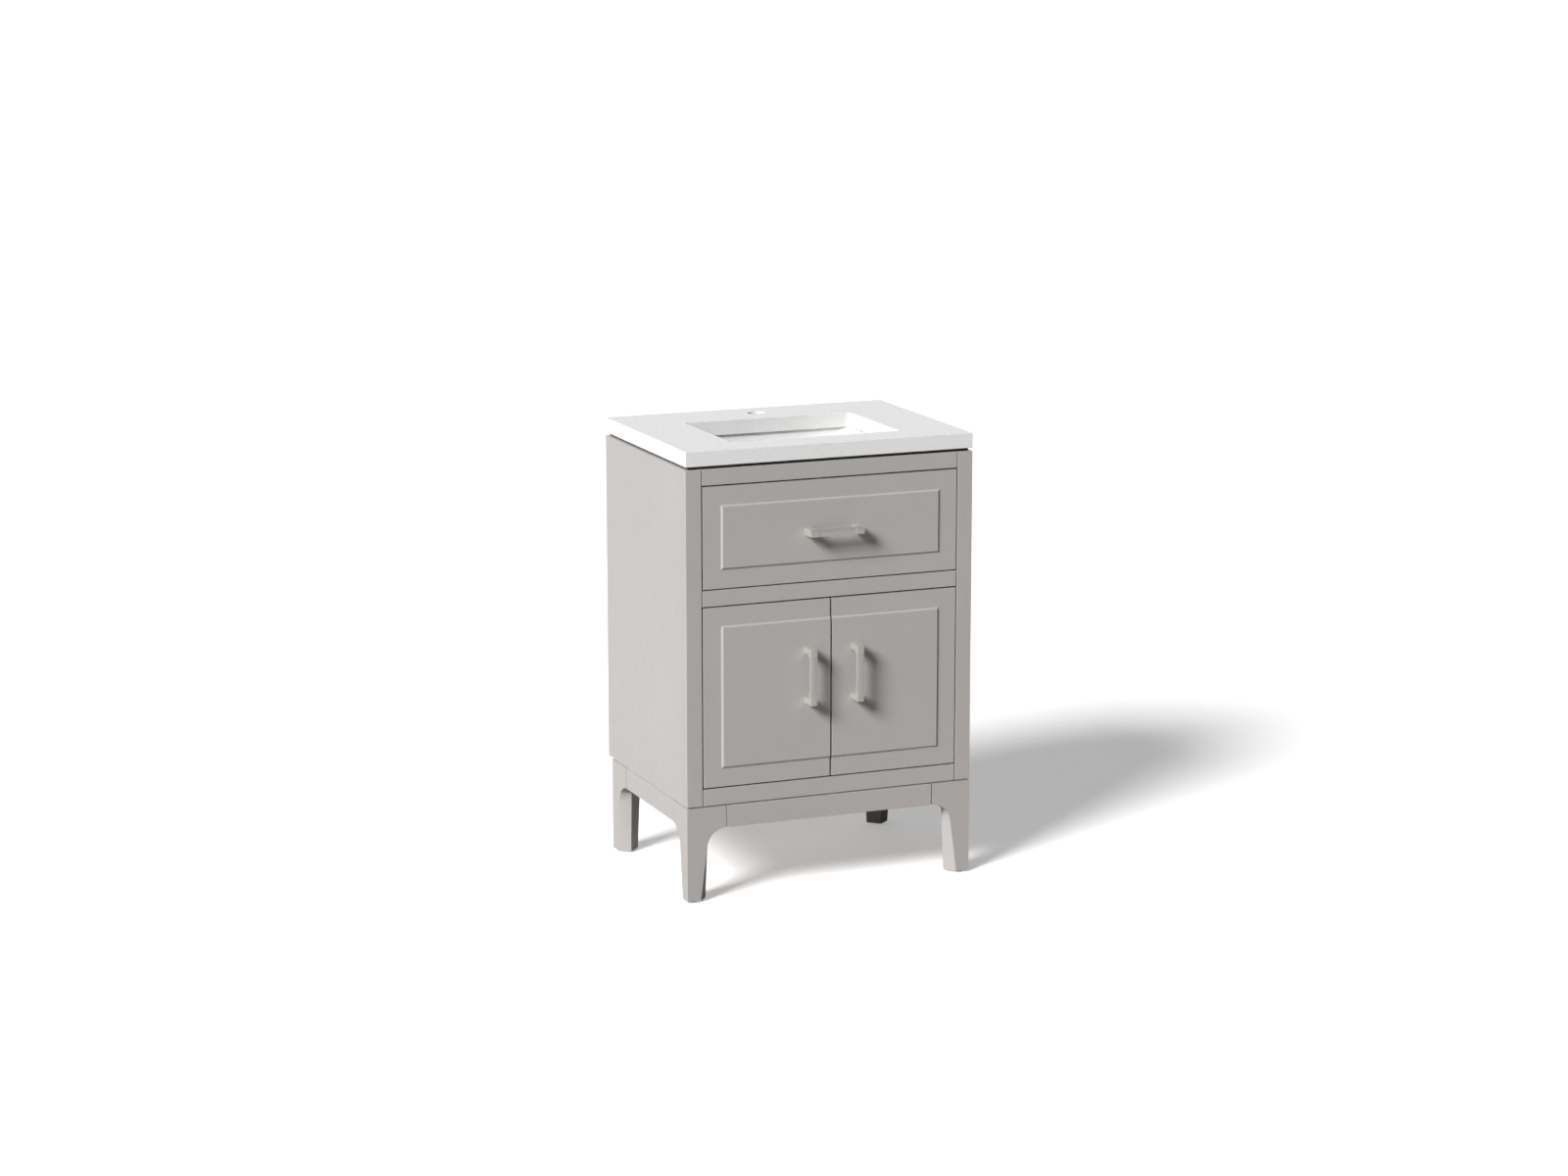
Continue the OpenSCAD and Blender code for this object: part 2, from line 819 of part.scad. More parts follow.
// The cup in the door, its screwed flange and the innermost leaf.
module hinge_cup() {
    y0 = frame_t - cup_depth;
    leaf(leaf_r, leaf_root, leaf_low + half_swing);
    translate([-cup_x, 0, 0]) rotate([-90, 0, 0]) {
        difference() {
            union() {
                translate([0, 0, y0]) cylinder(r = cup_r, h = cup_depth);
                translate([0, 0, frame_t]) cylinder(r = cup_r + cup_rim, h = cup_wall);
                translate([-wing_w / 2, -wing_l / 2, frame_t])
                    cube([wing_w, wing_l, cup_wall]);
            }
            translate([0, 0, y0 + cup_wall])
                cylinder(r = cup_r - cup_wall, h = cup_depth + 2);
        }
        for (s = [-1, 1]) translate([0, s * wing_screw, frame_t])
            cylinder(r = wing_screw_r, h = cup_wall + wing_screw_h);
    }
}

module hinge_cups_left() { cabinet(steel) on_side(-1) at_hinges() hinge_cup(); }
module hinge_cups_right() { cabinet(steel) on_side(1) at_hinges() hinge_cup(); }

// The middle leaf turns half as far as the door.
module hinge_link() {
    leaf(leaf_r + leaf_t + leaf_gap, leaf_low, leaf_high);
}

module hinge_links_left() { cabinet(steel) on_side(-1) at_hinges() hinge_link(); }
module hinge_links_right() { cabinet(steel) on_side(1) at_hinges() hinge_link(); }

// The fixed leaf stands on a block behind the stile.
module hinge_arm() {
    r = leaf_r + 2 * (leaf_t + leaf_gap);
    leaf(r, leaf_high - half_swing, leaf_high + leaf_end);
    board([arm_x, frame_t, -arm_half_h],
          [inner_half - hinge_x, r + leaf_t + arm_over, arm_half_h]);
}

module hinge_arms_left() { cabinet(steel) on_side(-1) at_hinges() hinge_arm(); }
module hinge_arms_right() { cabinet(steel) on_side(1) at_hinges() hinge_arm(); }

// ---- Nodes ----

countertop();
sink_basin();
sink_clips();
top_strips();
corner_blocks();
side_panel_left();
side_panel_right();
bottom_panel();
back_panel();
back_rail_top();
back_rail_bottom();
stile_left();
stile_right();
rail_top();
rail_middle();
rail_bottom();
door_stop();
door_bumpers();
shelf();
shelf_pins();
leg_front_left();
leg_front_right();
leg_rear_left();
leg_rear_right();
apron_front();
apron_rear();
apron_left();
apron_right();
base_braces();
foot_glides();
slide_spacers();
slide_outer_left();
slide_outer_right();
slide_middle_left();
slide_middle_right();
slide_inner_left();
slide_inner_right();
drawer_front();
drawer_side_left();
drawer_side_right();
drawer_subfront();
drawer_back();
drawer_notch_walls();
drawer_bottom();
drawer_pull();
drawer_pull_screws();
door_left();
door_right();
door_pull_left();
door_pull_right();
door_pull_screws_left();
door_pull_screws_right();
hinge_cups_left();
hinge_cups_right();
hinge_links_left();
hinge_links_right();
hinge_arms_left();
hinge_arms_right();
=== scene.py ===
"""The looks of the bathroom vanity cabinet, on its CAD frame. Metres, Z up, the front faces -Y."""

import math

import bmesh
import bpy
from mathutils import Matrix, Vector


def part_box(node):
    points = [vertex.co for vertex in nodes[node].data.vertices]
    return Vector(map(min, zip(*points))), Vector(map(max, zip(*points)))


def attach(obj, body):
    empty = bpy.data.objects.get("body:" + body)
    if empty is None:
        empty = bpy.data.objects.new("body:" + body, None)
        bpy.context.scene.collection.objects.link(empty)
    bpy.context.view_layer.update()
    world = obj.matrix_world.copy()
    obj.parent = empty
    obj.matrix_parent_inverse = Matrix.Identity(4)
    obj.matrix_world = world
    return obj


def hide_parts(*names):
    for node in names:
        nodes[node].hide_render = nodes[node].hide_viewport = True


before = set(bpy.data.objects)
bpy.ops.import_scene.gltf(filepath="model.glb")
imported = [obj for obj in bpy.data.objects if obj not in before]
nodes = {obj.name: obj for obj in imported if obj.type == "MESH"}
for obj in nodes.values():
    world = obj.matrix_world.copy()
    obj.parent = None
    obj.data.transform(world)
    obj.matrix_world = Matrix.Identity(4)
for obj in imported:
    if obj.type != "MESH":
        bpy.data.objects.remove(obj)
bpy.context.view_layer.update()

MM = 0.001
UM = 0.000001
WHITE = (1, 1, 1, 1)


# ---- Shaders ----
#
# Noise and cell scales are features per metre, colours are linear, and relief is in metres.


class Graph:
    """Short calls that add nodes to a node tree."""

    def __init__(self, tree, coordinates="Object"):
        self.tree = tree
        self.place = tree.nodes.new("ShaderNodeTexCoord").outputs[coordinates]

    def link(self, source, target):
        """source is a socket or a plain value."""
        if isinstance(source, bpy.types.NodeSocket):
            self.tree.links.new(source, target)
        else:
            target.default_value = source

    def math(self, operation, a, b=0.0):
        node = self.tree.nodes.new("ShaderNodeMath")
        node.operation = operation
        for source, target in zip((a, b), node.inputs):
            self.link(source, target)
        return node.outputs[0]

    def axis(self, index, place=None):
        """One component (0, 1 or 2) of a place or a colour."""
        node = self.tree.nodes.new("ShaderNodeSeparateXYZ")
        self.link(place or self.place, node.inputs[0])
        return node.outputs[index]

    def spread(self, source, low, high, start=0.3, end=0.7, ease="LINEAR"):
        """source from start..end to low..high."""
        node = self.tree.nodes.new("ShaderNodeMapRange")
        node.interpolation_type = ease
        for target, value in zip(node.inputs, (source, start, end, low, high)):
            self.link(value, target)
        return node.outputs[0]

    def light_path(self, ray):
        """1 for a ray of that kind ("Is Camera Ray" or "Is Glossy Ray"), for the stage only."""
        return self.tree.nodes.new("ShaderNodeLightPath").outputs[ray]


class Shader(Graph):
    """A material on one Principled shader. Places are in the row frame, in metres."""

    def __init__(self, name, **settings):
        self.mat = bpy.data.materials.new(name)
        self.mat.use_nodes = True
        super().__init__(self.mat.node_tree)
        self.bsdf = self.tree.nodes["Principled BSDF"]
        for key, value in settings.items():
            self.bsdf.inputs[key.replace("_", " ")].default_value = value

    def set(self, socket, source):
        self.link(source, self.bsdf.inputs[socket])

    def stretched(self, scale):
        node = self.tree.nodes.new("ShaderNodeMapping")
        node.inputs["Scale"].default_value = scale
        self.link(self.place, node.inputs["Vector"])
        return node.outputs["Vector"]

    def noise(self, scale, detail=2.0, roughness=0.5, distortion=0.0, place=None):
        node = self.tree.nodes.new("ShaderNodeTexNoise")
        self.link(place or self.place, node.inputs["Vector"])
        node.inputs["Scale"].default_value = scale
        node.inputs["Detail"].default_value = detail
        node.inputs["Roughness"].default_value = roughness
        node.inputs["Distortion"].default_value = distortion
        return node.outputs[0]

    def cells(self, scale, output="Color"):
        node = self.tree.nodes.new("ShaderNodeTexVoronoi")
        self.link(self.place, node.inputs["Vector"])
        node.inputs["Scale"].default_value = scale
        return node.outputs[output]

    def ramp(self, source, *stops):
        """Colours at positions: (position, (r, g, b)), ..."""
        node = self.tree.nodes.new("ShaderNodeValToRGB")
        self.link(source, node.inputs[0])
        elements = node.color_ramp.elements
        while len(elements) < len(stops):
            elements.new(0.5)
        for element, (position, colour) in zip(elements, stops):
            element.position = position
            element.color = (*colour, 1)
        return node.outputs[0]

    def mix(self, share, a, b):
        """Colour a, with a share of colour b."""
        node = self.tree.nodes.new("ShaderNodeMix")
        node.data_type = "RGBA"
        self.link(share, node.inputs[0])
        for source, target in ((a, node.inputs[6]), (b, node.inputs[7])):
            is_socket = isinstance(source, bpy.types.NodeSocket)
            self.link(source if is_socket else (*source, 1), target)
        return node.outputs[2]

    def bumps(self, *layers):
        """Surface relief: (height socket, depth from low to high), ... one on top of the other."""
        normal = None
        for height, depth in layers:
            node = self.tree.nodes.new("ShaderNodeBump")
            node.inputs["Strength"].default_value = 1.0
            node.inputs["Distance"].default_value = depth
            self.link(height, node.inputs["Height"])
            if normal is not None:
                self.link(normal, node.inputs["Normal"])
            normal = node.outputs[0]
        self.set("Normal", normal)


def lacquer():
    """Warm grey satin lacquer, sprayed on wood: a fine orange peel and faint drifts of tone."""
    low, high, fleck = (0.398, 0.381, 0.368), (0.410, 0.393, 0.379), (0.36, 0.344, 0.33)
    s = Shader("warm_grey_lacquer", Coat_Weight=0.06, Coat_Roughness=0.3, IOR=1.45)
    tone = s.ramp(s.noise(3.5, 3), (0.3, low), (0.7, high))
    s.set("Base Color", s.mix(s.spread(s.noise(700, 2), 0.0, 0.06), tone, fleck))
    s.set("Roughness", s.spread(s.noise(45, 3), 0.38, 0.47))
    sag, peel, grit = s.noise(1.2, 2), s.noise(420, 2), s.noise(1500, 1)
    s.bumps((sag, 150 * UM), (peel, 20 * UM), (grit, 6 * UM))
    return s.mat


def quartz():
    """Polished white engineered stone: packed grains with a few greyer and clearer ones."""
    shades = (0.69, 0.69, 0.685), (0.735, 0.735, 0.73), (0.78, 0.78, 0.775)
    clear, cloud = (0.65, 0.65, 0.645), (0.75, 0.748, 0.74)
    grain_scale, clear_scale = 750, 210
    s = Shader("white_quartz", IOR=1.54, Coat_Weight=0.25, Coat_Roughness=0.06)
    grain = s.ramp(s.axis(0, s.cells(grain_scale)), *zip((0.0, 0.5, 1.0), shades))
    grain = s.mix(s.spread(s.axis(1, s.cells(clear_scale)), 0.0, 0.45, 0.9, 1.0), grain, clear)
    s.set("Base Color", s.mix(s.spread(s.noise(9, 4), 0.0, 0.25), grain, cloud))
    s.set("Roughness", s.spread(s.noise(120, 3), 0.16, 0.24))
    s.bumps((s.noise(2.5, 2), 150 * UM), (s.cells(grain_scale, "Distance"), 4 * UM))
    return s.mat


def glaze():
    """White fired glaze, a little wavy, pooled slightly warmer in places."""
    cool, warm = (0.78, 0.782, 0.778), (0.805, 0.803, 0.792)
    s = Shader("basin_glaze", Coat_Weight=0.7, Coat_Roughness=0.03, IOR=1.52)
    s.set("Base Color", s.mix(s.spread(s.noise(14, 3), 0.0, 1.0), cool, warm))
    s.set("Roughness", s.spread(s.noise(30, 3), 0.06, 0.12))
    s.bumps((s.noise(16, 2), 200 * UM), (s.noise(160, 2), 10 * UM))
    return s.mat


def brushed(name, along, light, dark, rough, depth, metallic=1.0):
    """A metal with fine brushing along an axis (0, 1 or 2)."""
    across_scale, along_scale = 900.0, 14.0
    s = Shader(name, Metallic=metallic)
    scale = [across_scale] * 3
    scale[along] = along_scale
    hair = s.noise(1.0, 3, 0.6, place=s.stretched(scale))
    patch = s.noise(60, 3)
    tone = s.mix(s.spread(hair, 0.0, 1.0), dark, light)
    s.set("Base Color", s.mix(s.spread(patch, 0.0, 0.1), tone, dark))
    hair_rough = s.spread(hair, rough - 0.04, rough + 0.04)
    s.set("Roughness", s.math("ADD", hair_rough, s.spread(patch, -0.015, 0.015)))
    s.bumps((hair, depth))
    return s.mat


def zinc():
    """Zinc-plated pressed steel: a cool grey with faint spangles and rolling marks."""
    dark, light, stain = (0.50, 0.52, 0.55), (0.63, 0.65, 0.67), (0.56, 0.55, 0.51)
    s = Shader("zinc_steel", Metallic=1.0)
    spangle = s.axis(0, s.cells(420))
    tone = s.ramp(spangle, (0.0, dark), (1.0, light))
    s.set("Base Color", s.mix(s.spread(s.noise(25, 4), 0.0, 0.3), tone, stain))
    spangle_rough = s.spread(spangle, 0.26, 0.36, 0.0, 1.0)
    s.set("Roughness", s.math("ADD", spangle_rough, s.spread(s.noise(80, 2), -0.03, 0.04)))
    s.bumps((s.noise(1.0, 2, place=s.stretched((600, 20, 600))), 6 * UM))
    return s.mat


def plastic():
    """Black moulded plastic, with a fine spark-eroded texture."""
    s = Shader("glide_plastic", IOR=1.48)
    low, high = (0.035, 0.035, 0.037), (0.055, 0.055, 0.057)
    s.set("Base Color", s.mix(s.spread(s.noise(90, 3), 0.0, 1.0), low, high))
    s.set("Roughness", s.spread(s.noise(400, 2), 0.44, 0.56))
    s.bumps((s.noise(1800, 2), 20 * UM))
    return s.mat


def felt():
    """Pressed felt on the door bumpers."""
    dark, light = (0.30, 0.28, 0.26), (0.46, 0.44, 0.41)
    s = Shader("bumper_felt", Sheen_Weight=0.6, Sheen_Roughness=0.5)
    fibre = s.noise(2600, 4, 0.7, 0.6)
    s.set("Base Color", s.mix(s.spread(fibre, 0.0, 1.0), dark, light))
    s.set("Roughness", s.spread(fibre, 0.85, 0.97))
    s.bumps((fibre, 250 * UM))
    return s.mat


PALE_BIRCH, DEEP_BIRCH, BROWN_BIRCH = (0.66, 0.50, 0.33), (0.50, 0.35, 0.21), (0.27, 0.17, 0.09)
FIGURE_ACROSS, FIGURE_ALONG = 26.0, 1.3
PORES_ACROSS, PORES_ALONG = 950.0, 16.0
GLUE_LINE = 0.455       # where it starts, in plies from a ply's middle
END_GRAIN = 0.62        # the darkest tone of a ply that is cut across, as a share of DEEP_BIRCH


def birch(name, grain, plies=None, shade=1.0):
    """Clear-coated birch with its grain along an axis. plies is (axis, low, high, count) for
    plywood: its cut edges show the plies, darker where they are cut across."""
    s = Shader(name, IOR=1.5, Coat_Weight=0.15, Coat_Roughness=0.3)
    pale, deep, brown = ([shade * v for v in c] for c in (PALE_BIRCH, DEEP_BIRCH, BROWN_BIRCH))
    middle = [(a + b) / 2 for a, b in zip(pale, deep)]
    broad, fine = [FIGURE_ACROSS] * 3, [PORES_ACROSS] * 3
    broad[grain], fine[grain] = FIGURE_ALONG, PORES_ALONG
    figure = s.noise(1.0, 4, 0.55, 1.2, place=s.stretched(broad))
    pores = s.noise(1.0, 3, 0.65, place=s.stretched(fine))
    tone = s.ramp(figure, (0.30, deep), (0.5, middle), (0.66, pale))
    tone = s.mix(s.spread(pores, 0.0, 0.35, 0.5, 0.8), tone, brown)
    if plies:
        axis, low, high, count = plies
        t = s.spread(s.axis(axis), 0.0, count * 0.99999, low, high)
        odd = s.math("MODULO", s.math("FLOOR", t), 2.0)
        from_middle = s.math("ABSOLUTE", s.math("SUBTRACT", t, count / 2))
        inner = s.math("LESS_THAN", from_middle, count / 2 - 0.5)
        in_ply = s.math("ABSOLUTE", s.math("SUBTRACT", s.math("FRACT", t), 0.5))
        seam = s.math("MULTIPLY", inner, s.math("GREATER_THAN", in_ply, GLUE_LINE))
        end = s.mix(s.spread(s.noise(1500, 2), 0.0, 1.0), [v * END_GRAIN for v in deep], deep)
        tone = s.mix(s.math("MULTIPLY", odd, 0.85), tone, end)
        tone = s.mix(s.math("MULTIPLY", seam, 0.7), tone, brown)
    s.set("Base Color", tone)
    s.set("Roughness", s.spread(figure, 0.42, 0.55))
    s.bumps((figure, 40 * UM), (pores, 30 * UM))
    return s.mat


paint = lacquer()
stone = quartz()
china = glaze()
steel = zinc()
PULL_NICKEL = ((0.68, 0.66, 0.625), (0.62, 0.60, 0.567), 0.34, 1 * UM, 0.65)
nickel_x = brushed("pull_nickel_x", 0, *PULL_NICKEL)
nickel_z = brushed("pull_nickel_z", 2, *PULL_NICKEL)
plated = brushed("hinge_nickel", 2, (0.70, 0.68, 0.64), (0.60, 0.58, 0.54), 0.2, 2 * UM)
black_plastic = plastic()
felt_grey = felt()


# ---- The CAD nodes' finishes ----

EASE_ANGLE = math.radians(32)
WELD_GAP = 0.01 * MM
FLAT_ANGLE = math.radians(0.4)


def ease(o, width, segments):
    """A bevel on the sharp edges."""
    bevel = o.modifiers.new("edge", "BEVEL")
    bevel.width = width
    bevel.segments = segments
    bevel.limit_method = "ANGLE"
    bevel.angle_limit = EASE_ANGLE
    bevel.miter_outer = "MITER_ARC"


def weigh_normals(o):
    o.modifiers.new("normals", "WEIGHTED_NORMAL").keep_sharp = False


def dress(material, edge, segments, *names):
    """CAD nodes' material and eased edges. Their own meshes stay as they are."""
    for name in names:
        o = nodes[name]
        if not o.material_slots:
            o.data.materials.append(material)
        for slot in o.material_slots:
            slot.material = material
        o.modifiers.new("weld", "WELD").merge_threshold = WELD_GAP
        flat = o.modifiers.new("flat", "DECIMATE")
        flat.decimate_type = "DISSOLVE"
        flat.angle_limit = FLAT_ANGLE
        ease(o, edge, segments)
        weigh_normals(o)


def dress_plywood(name, grain, axis, count):
    """A plywood node with so many plies across an axis."""
    low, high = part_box(name)
    dress(birch("birch_" + name, grain, (axis, low[axis], high[axis], count)), 0.4 * MM, 2, name)


dress(paint, 0.6 * MM, 2, "stile_left", "stile_right", "rail_top", "rail_middle", "rail_bottom",
      "side_panel_left", "side_panel_right")
dress(paint, 0.8 * MM, 2, "drawer_front", "door_left", "door_right", "leg_front_left",
      "leg_front_right", "leg_rear_left", "leg_rear_right", "apron_front", "apron_rear",
      "apron_left", "apron_right")
dress(stone, 1.5 * MM, 3, "countertop")
dress(steel, 0.2 * MM, 1, "slide_outer_left", "slide_outer_right", "slide_middle_left",
      "slide_middle_right", "slide_inner_left", "slide_inner_right", "sink_clips", "shelf_pins")
dress(plated, 0.2 * MM, 1, "hinge_cups_left", "hinge_cups_right", "hinge_links_left",
      "hinge_links_right", "hinge_arms_left", "hinge_arms_right")
dress(black_plastic, 0.5 * MM, 2, "foot_glides")
dress(felt_grey, 0.4 * MM, 2, "door_bumpers")
for name, grain, axis, count in (("bottom_panel", 0, 2, 11), ("shelf", 0, 2, 11),
                                 ("back_panel", 2, 1, 5),
                                 ("back_rail_top", 0, 1, 11), ("back_rail_bottom", 0, 1, 11),
                                 ("drawer_side_left", 1, 0, 9), ("drawer_side_right", 1, 0, 9),
                                 ("drawer_subfront", 0, 1, 9), ("drawer_back", 0, 1, 9),
                                 ("drawer_bottom", 0, 2, 5)):
    dress_plywood(name, grain, axis, count)
dress(birch("birch_notch", 0), 0.4 * MM, 2, "drawer_notch_walls")
dress(birch("birch_blocks", 0, shade=0.92), 0.6 * MM, 2, "corner_blocks", "base_braces",
      "door_stop")
# Painted shade: the top strips in the reveal under the countertop are birch darkened to near black,
# standing in for the shadow in that gap.
dress(birch("painted_shade_strips", 0, shade=0.06), 0.6 * MM, 2, "top_strips")
dress(birch("birch_spacers", 1, shade=0.92), 0.6 * MM, 2, "slide_spacers")


# ---- Built pieces ----

ALONG_Y = Matrix.Rotation(math.radians(-90), 4, "X")    # turns +Z to +Y, into the cabinet


def piece(name, mesh, material, body, slot, *stood_for):
    """A new piece. stood_for names the CAD nodes that it replaces."""
    o = bpy.data.objects.new(name, mesh)
    bpy.context.scene.collection.objects.link(o)
    mesh.materials.append(material)
    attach(o, body)
    if stood_for:
        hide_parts(*stood_for)
    return o


def smooth(o):
    for p in o.data.polygons:
        p.use_smooth = True


def loft(rings, closed=False, caps=False):
    """A mesh through rings of as many points each. closed joins the last ring to the first."""
    mesh = bpy.data.meshes.new("loft")
    n, count = len(rings[0]), len(rings)
    points = [tuple(p) for ring_points in rings for p in ring_points]
    faces = []
    for k in range(count if closed else count - 1):
        a, b = k * n, ((k + 1) % count) * n
        faces += [(a + j, a + (j + 1) % n, b + (j + 1) % n, b + j) for j in range(n)]
    if caps:
        faces += [tuple(reversed(range(n))), tuple(range((count - 1) * n, count * n))]
    mesh.from_pydata(points, [], faces)
    bm = bmesh.new()
    bm.from_mesh(mesh)
    bmesh.ops.recalc_face_normals(bm, faces=bm.faces)
    bm.to_mesh(mesh)
    bm.free()
    return mesh


def lathe(profile, segments, closed=False):
    """A mesh round +Z through (radius, height) in mm."""
    angles = [2 * math.pi * k / segments for k in range(segments)]
    rings = [[(r * MM * math.cos(a), r * MM * math.sin(a), h * MM) for a in angles]
             for r, h in profile]
    return loft(rings, closed=closed, caps=not closed)


# ---- Pulls ----

PULL_L, PULL_W, PULL_OUT, BAR_T = 114.3 * MM, 14.8 * MM, 32 * MM, 7 * MM
PULL_POST, PULL_FILLET, PULL_END, PULL_STEP = 12.7 * MM, 12 * MM, 17.5 * MM, 0.8 * MM
PULL_CROWN, PULL_EASE = 0.6 * MM, 0.5 * MM
FILLET_STEPS, CROWN_STEPS = 8, 12


def pull_mesh():
    """A bar pull along X with its posts on y = 0, crowned across its face. The middle of the bar
    is a step thinner."""
    half, inner, reach = PULL_L / 2, PULL_L / 2 - PULL_POST, PULL_OUT - BAR_T
    side = [(half, 0.0), (half, PULL_OUT), (half - PULL_END, PULL_OUT),
            (half - PULL_END, PULL_OUT - PULL_STEP)]
    under = [(inner, 0.0)]
    for k in range(FILLET_STEPS + 1):
        a = math.pi / 2 * k / FILLET_STEPS
        under.append((inner - PULL_FILLET + PULL_FILLET * math.cos(a),
                      reach - PULL_FILLET + PULL_FILLET * math.sin(a)))
    outline = side + [(-x, y) for x, y in reversed(side)]
    outline += [(-x, y) for x, y in under] + list(reversed(under))
    rings = []
    for k in range(CROWN_STEPS + 1):
        w = PULL_W * (k / CROWN_STEPS - 0.5)
        drop = PULL_CROWN * (2 * w / PULL_W) ** 2
        rings.append([(x, -(y - (drop if y > reach + BAR_T / 2 else 0.0)), w) for x, y in outline])
    return loft(rings, caps=True)


def add_pull(name, node, body, material, turn):
    low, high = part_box(node)
    middle = (low + high) / 2
    mesh = pull_mesh()
    mesh.transform(Matrix.Translation((middle.x, high.y, middle.z)) @ turn)
    o = piece(name, mesh, material, body, "pull_nickel", node)
    smooth(o)
    ease(o, PULL_EASE, 3)
    weigh_normals(o)


upright = Matrix.Rotation(math.radians(90), 4, "Y")
add_pull("pull_drawer", "drawer_pull", "drawer", nickel_x, Matrix.Identity(4))
add_pull("pull_left", "door_pull_left", "left_door", nickel_z, upright)
add_pull("pull_right", "door_pull_right", "right_door", nickel_z, upright)


# ---- Basin ----

CORNER_STEPS, LONG_SIDE, SIDE_PARTS = 10, 20 * MM, 8


def ring(w, d, r, z, centre, round_share=0.0, round_r=0.0):
    """A rounded rectangle of w by d, or, by round_share, part of the way to a circle."""
    points = []
    for sx, sy, start in ((1, 1, 0), (-1, 1, 90), (-1, -1, 180), (1, -1, 270)):
        cx, cy = sx * (w / 2 - r), sy * (d / 2 - r)
        for k in range(CORNER_STEPS + 1):
            a = math.radians(start + 90 * k / CORNER_STEPS)
            points.append((cx + r * math.cos(a), cy + r * math.sin(a)))
    dense = []
    for k, p in enumerate(points):
        q = points[(k + 1) % len(points)]
        dense.append(p)
        if math.dist(p, q) > LONG_SIDE:
            dense += [tuple(a + (b - a) * j / SIDE_PARTS for a, b in zip(p, q))
                      for j in range(1, SIDE_PARTS)]
    out = []
    for x, y in dense:
        a = math.atan2(y / d, x / w)
        out.append(Vector((centre.x + x + (round_r * math.cos(a) - x) * round_share,
                           centre.y + y + (round_r * math.sin(a) - y) * round_share, z)))
    return out


LIP_W, LIP_T, WALL = 24 * MM, 10 * MM, 8 * MM
BOWL_DEPTH, BOWL_R, BOWL_FILLET, BOWL_DRAFT, BOWL_FALL = 136 * MM, 30 * MM, 32 * MM, 5 * MM, 4 * MM
R_GROWTH = 4 * MM       # how much the bowl's corner radius grows from the rim to the floor
RIM_H = 1.2 * MM
HOLE_R, HOLE_BOSS, HOLE_L = 22.5 * MM, 14 * MM, 14 * MM
UNDER_RISE = 1.5 * MM
WALL_STEPS, BEND_STEPS, FALL_STEPS, UNDER_STEPS = 6, 9, 8, 5
OVERFLOW_R, OVERFLOW_DROP, DRILL_L = 9 * MM, 35 * MM, 30 * MM
OVERFLOW_OUT = 1.2 * MM
OVERFLOW_RING = ((9.2, -7.5), (8.4, -7.5), (8.4, 1.2), (8.9, 1.9), (10.2, 2.2), (12.4, 1.7),
                 (13, 0.9), (12.6, -1.5))


def bowl_rings(w, d, top, centre):
    """The basin's rings, from the rim down the inside, through the waste hole, and up the outside
    to the lip. w and d are the inside's at the rim."""
    floor_z = top - BOWL_DEPTH
    bottom = floor_z - HOLE_L

    def plan(inset, z, r, round_share=0.0, round_r=0.0):
        return ring(w - 2 * inset, d - 2 * inset, r, z, centre, round_share, round_r)

    def circle(radius, z):
        return plan(0.0, z, BOWL_R, 1.0, radius)

    rings = [plan(-0.5 * MM, top, BOWL_R), plan(0.3 * MM, top - RIM_H, BOWL_R)]
    for k in range(1, WALL_STEPS):
        t = k / WALL_STEPS
        rings.append(plan(BOWL_DRAFT * t, top - RIM_H - (BOWL_DEPTH - BOWL_FILLET) * t,
                          BOWL_R + R_GROWTH * t))
    for k in range(1, BEND_STEPS + 1):
        a = math.pi / 2 * k / BEND_STEPS
        rings.append(plan(BOWL_DRAFT + BOWL_FILLET * (1 - math.cos(a)),
                          floor_z + BOWL_FILLET * (1 - math.sin(a)), BOWL_R + R_GROWTH))
    for k in range(1, FALL_STEPS):
        t = k / FALL_STEPS
        rings.append(plan(BOWL_DRAFT + BOWL_FILLET, floor_z - BOWL_FALL * t * t,
                          BOWL_R + R_GROWTH, t, HOLE_R + 3 * MM))
    for grow, drop in ((1.5, 4.3), (0.4, 5.2), (0.0, 6.5), (0.0, 13.6)):
        rings.append(circle(HOLE_R + grow * MM, floor_z - drop * MM))
    rings += [circle(HOLE_R + 0.6 * MM, bottom), circle(HOLE_R + HOLE_BOSS, bottom)]
    for k in range(1, UNDER_STEPS):
        t = k / UNDER_STEPS
        rings.append(plan(BOWL_FILLET - WALL, bottom + UNDER_RISE * t, BOWL_R, 1 - t,
                          HOLE_R + HOLE_BOSS))
    for k in range(BEND_STEPS + 1):
        a = math.pi / 2 * k / BEND_STEPS
        rings.append(plan(BOWL_FILLET - WALL - BOWL_FILLET * math.sin(a),
                          bottom + UNDER_RISE + BOWL_FILLET * (1 - math.cos(a)), BOWL_R + WALL))
    for out, drop in ((0, 6), (1.5, 2), (5, 0)):
        rings.append(plan(-WALL - out * MM, top - LIP_T - drop * MM, BOWL_R + WALL))
    for inset, drop in ((2, 9.8), (0.4, 8.8), (0, 7), (0, 1.5), (0.4, 0.3), (1.5, 0)):
        rings.append(plan(inset * MM - LIP_W, top - drop * MM, BOWL_R))
    return rings


def drill(o, place, radius, length):
    """A round hole along Y."""
    profile = [(radius / MM, -length / 2 / MM), (radius / MM, length / 2 / MM)]
    bit = bpy.data.objects.new("bit", lathe(profile, 40))
    bit.data.transform(Matrix.Translation(place) @ ALONG_Y)
    bpy.context.scene.collection.objects.link(bit)
    cut = o.modifiers.new("drill", "BOOLEAN")
    cut.operation = "DIFFERENCE"
    cut.object = bit
    graph = bpy.context.evaluated_depsgraph_get()
    mesh = bpy.data.meshes.new_from_object(o.evaluated_get(graph))
    o.modifiers.clear()
    o.data = mesh
    bpy.data.objects.remove(bit)


